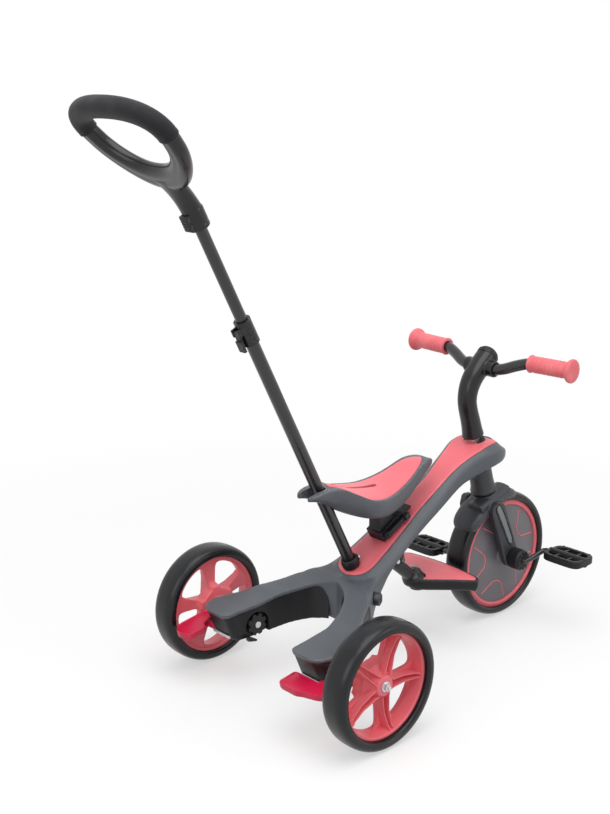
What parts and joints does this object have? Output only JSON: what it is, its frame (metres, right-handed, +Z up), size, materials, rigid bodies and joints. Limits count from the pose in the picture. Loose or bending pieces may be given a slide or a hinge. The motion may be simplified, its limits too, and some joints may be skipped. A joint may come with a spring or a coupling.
{
  "type": "children's tricycle",
  "caption": "Children's tricycle with a grey beam frame, coral saddle and trim, pedals, folding footrest, foot brakes and a telescopic push pole with a swivelling loop handle.",
  "frame": {"origin": "on the ground, under the middle of the whole tricycle's length and width", "axes": "+X forward, the way it rides; +Y to the rider's left, along the wheel axles; +Z up"},
  "size_m": [1.0147, 0.488, 1.0141],
  "materials": {
    "frame_grey": "fine satin grain",
    "dark_grey": "satin",
    "coral": "satin",
    "coral_grip": "soft matte",
    "bush_white": "smooth",
    "black_plastic": "satin",
    "gloss_black": "glossy",
    "black_paint": "gloss powder coat",
    "zinc_steel": "zinc plated",
    "tyre": "matte",
    "brake_red": "satin",
    "disc_grey": "satin",
    "inlay_grey": "satin",
    "soft_grip": "soft matte"
  },
  "bodies": {
    "frame": {"frame_shell": "frame_grey", "frame_base": "frame_grey", "frame_ribs": "frame_grey", "top_panel": "coral", "head_tube": "dark_grey", "head_bushes": "bush_white", "pole_socket": "black_plastic", "seat_rail": "black_plastic", "footrest_bracket": "black_plastic", "footrest_pin": "zinc_steel", "axle_housings": "black_plastic", "brake_pins": "zinc_steel", "pole_lower": "black_paint", "pole_collar": "gloss_black"},
    "pole_button": {"pole_button": "zinc_steel"},
    "release_knob": {"release_knob": "black_plastic"},
    "clip_lever": {"clip_lever": "gloss_black"},
    "seat": {"seat_shell": "frame_grey", "seat_pad": "coral", "seat_block": "black_plastic"},
    "seat_latch": {"seat_latch": "gloss_black"},
    "rear_wheel_left": {"rear_tyre_left": "tyre", "rear_rim_left": "coral", "rear_axle_left": "zinc_steel", "brake_disc_left": "black_plastic", "wheel_bolt_left": "zinc_steel"},
    "rear_wheel_right": {"rear_tyre_right": "tyre", "rear_rim_right": "coral", "rear_axle_right": "zinc_steel", "brake_disc_right": "black_plastic", "wheel_bolt_right": "zinc_steel"},
    "brake_left": {"brake_lever_left": "brake_red"},
    "brake_right": {"brake_lever_right": "brake_red"},
    "steering": {"fork": "frame_grey", "mudguard": "dark_grey", "steerer": "zinc_steel", "fork_inlays": "inlay_grey", "fork_bushes": "bush_white", "stem": "black_plastic", "stem_cap": "gloss_black", "handlebar": "black_paint", "grip_left": "coral_grip", "grip_right": "coral_grip"},
    "front_wheel": {"front_tyre": "tyre", "front_ring": "coral", "front_discs": "disc_grey", "front_axle": "zinc_steel", "crank_left": "gloss_black", "crank_right": "gloss_black", "spindle_left": "zinc_steel", "spindle_right": "zinc_steel"},
    "pedal_left": {"pedal_left": "black_plastic"},
    "pedal_right": {"pedal_right": "black_plastic"},
    "telescope": {"pole_upper": "black_paint"},
    "handle": {"handle_body": "gloss_black", "handle_grip": "soft_grip"},
    "handle_button": {"handle_button": "gloss_black"},
    "footrest": {"footrest_tray": "frame_grey", "footrest_mat": "coral", "footrest_post": "gloss_black"}
  },
  "joints": [
    {"name": "steering_turn", "type": "hinge", "parent": "frame", "child": "steering", "pos_m": [0.3824, 0, 0.125], "axis": [-0.3024, 0, 0.9532], "range_deg": [-30, 30]},
    {"name": "front_wheel_spin", "type": "hinge", "parent": "steering", "child": "front_wheel", "pos_m": [0.3824, 0, 0.125], "axis": [0, 1, 0], "continuous": true},
    {"name": "pedal_left_spin", "type": "hinge", "parent": "front_wheel", "child": "pedal_left", "pos_m": [0.34546, 0.1465, 0.10502], "axis": [0, 1, 0], "continuous": true},
    {"name": "pedal_right_spin", "type": "hinge", "parent": "front_wheel", "child": "pedal_right", "pos_m": [0.41935, -0.1465, 0.14498], "axis": [0, 1, 0], "continuous": true},
    {"name": "rear_wheel_left_spin", "type": "hinge", "parent": "frame", "child": "rear_wheel_left", "pos_m": [-0.1646, 0.219, 0.108], "axis": [0, 1, 0], "continuous": true},
    {"name": "rear_wheel_right_spin", "type": "hinge", "parent": "frame", "child": "rear_wheel_right", "pos_m": [-0.1646, -0.219, 0.108], "axis": [0, 1, 0], "continuous": true},
    {"name": "brake_left_press", "type": "hinge", "parent": "frame", "child": "brake_left", "pos_m": [-0.2166, 0.115, 0.095], "axis": [0, -1, 0], "range_deg": [0, 7]},
    {"name": "brake_right_press", "type": "hinge", "parent": "frame", "child": "brake_right", "pos_m": [-0.2166, -0.115, 0.095], "axis": [0, -1, 0], "range_deg": [0, 7]},
    {"name": "pole_telescope", "type": "slide", "parent": "frame", "child": "telescope", "axis": [-0.4587, 0, 0.8886], "range_m": [-0.15, 0]},
    {"name": "clip_open", "type": "hinge", "parent": "frame", "child": "clip_lever", "pos_m": [-0.26751, 0, 0.65354], "axis": [0, 1, 0], "range_deg": [0, 80]},
    {"name": "handle_swivel", "type": "hinge", "parent": "telescope", "child": "handle", "pos_m": [-0.33865, 0, 0.83063], "axis": [-0.4587, 0, 0.8886], "continuous": true},
    {"name": "handle_button_press", "type": "slide", "parent": "handle", "child": "handle_button", "axis": [0.8885, -0.0175, 0.4586], "range_m": [0, 0.0025], "stiffness_N_per_m": 400},
    {"name": "pole_button_press", "type": "slide", "parent": "frame", "child": "pole_button", "axis": [-0.7279, 0.5736, -0.3757], "range_m": [0, 0.0025], "stiffness_N_per_m": 400},
    {"name": "release_knob_press", "type": "slide", "parent": "frame", "child": "release_knob", "axis": [-0.5, 0.866, 0], "range_m": [0, 0.003], "stiffness_N_per_m": 400},
    {"name": "seat_slide", "type": "slide", "parent": "frame", "child": "seat", "axis": [0.8746, 0, 0.4848], "range_m": [0, 0.03]},
    {"name": "seat_latch_lift", "type": "hinge", "parent": "seat", "child": "seat_latch", "pos_m": [0.05084, -0.0225, 0.24891], "axis": [0, -1, 0], "range_deg": [0, 10]},
    {"name": "footrest_fold", "type": "hinge", "parent": "frame", "child": "footrest", "pos_m": [0.0804, 0, 0.19], "axis": [0, -1, 0], "range_deg": [0, 30]}
  ]
}
